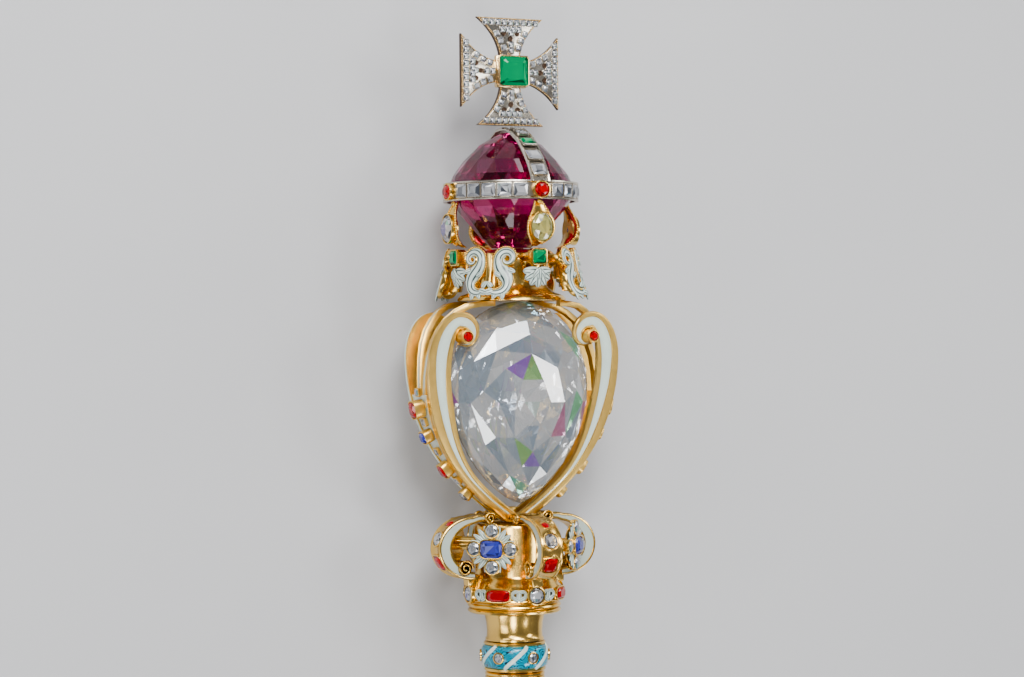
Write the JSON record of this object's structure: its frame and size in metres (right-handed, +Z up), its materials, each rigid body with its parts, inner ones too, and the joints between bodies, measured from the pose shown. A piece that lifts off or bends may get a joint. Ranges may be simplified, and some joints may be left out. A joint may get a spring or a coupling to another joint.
{
  "type": "ceremonial sceptre",
  "caption": "Gold ceremonial sceptre with an enamelled heart clasping a great pear-cut diamond, a scrolled crown, an amethyst globe and a diamond cross, lying on its back.",
  "frame": {"origin": "on the surface the sceptre lies on, below the middle of its length and on its mid-plane", "axes": "+Y along the rod towards the cross, +Z up out of the front of the head, +X the head's right-hand side as its front is seen with the cross at the top"},
  "size_m": [0.067, 0.922, 0.0513],
  "materials": {
    "gold": "polished",
    "silver": "polished, set with small stones",
    "white_enamel": "glossy",
    "turquoise_enamel": "glossy",
    "diamond": "faceted and polished",
    "yellow_diamond": "faceted and polished",
    "ruby": "faceted and polished",
    "sapphire": "faceted and polished",
    "emerald": "faceted and polished",
    "amethyst": "faceted and polished"
  },
  "bodies": {
    "sceptre": {"amethyst_globe": "amethyst", "bracket_back": "gold", "bracket_front": "gold", "bracket_left": "gold", "bracket_right": "gold", "cluster_back_left": "white_enamel", "cluster_back_right": "white_enamel", "cluster_front_left": "white_enamel", "cluster_front_right": "white_enamel", "collar_lower": "turquoise_enamel", "collar_middle": "turquoise_enamel", "collar_upper": "turquoise_enamel", "console_back_left": "white_enamel", "console_back_right": "white_enamel", "console_front_left": "white_enamel", "console_front_right": "white_enamel", "cross": "silver", "crown_base": "gold", "diamond_side_left": "diamond", "diamond_side_right": "diamond", "emerald_back": "emerald", "emerald_cross": "emerald", "emerald_front": "emerald", "emerald_left": "emerald", "emerald_right": "emerald", "great_diamond": "diamond", "heart_frame": "gold", "monde_band": "silver", "monde_seat": "gold", "neck": "gold", "pendant_back": "gold", "pendant_front": "gold", "pendant_left": "gold", "pendant_right": "gold", "pommel": "gold", "rod_lower": "gold", "rod_middle": "gold", "rod_upper": "gold", "ruby_band_back": "ruby", "ruby_band_front": "ruby", "ruby_band_left": "ruby", "ruby_band_right": "ruby", "ruby_rear_left": "ruby", "ruby_rear_right": "ruby", "ruby_side_lower_left": "ruby", "ruby_side_lower_right": "ruby", "ruby_side_upper_left": "ruby", "ruby_side_upper_right": "ruby", "sapphire_back_left": "sapphire", "sapphire_back_right": "sapphire", "sapphire_front_left": "sapphire", "sapphire_front_right": "sapphire", "sapphire_side_left": "sapphire", "sapphire_side_right": "sapphire", "yellow_diamond_front": "yellow_diamond"},
    "front_clasp": {"heart_clasp": "gold", "ruby_clasp_right": "ruby", "ruby_clasp_left": "ruby"}
  },
  "joints": [
    {"name": "clasp_hinge", "type": "hinge", "parent": "sceptre", "child": "front_clasp", "pos_m": [0, 0.316, 0.0298], "axis": [1, 0, 0], "range_deg": [0, 60]}
  ]
}
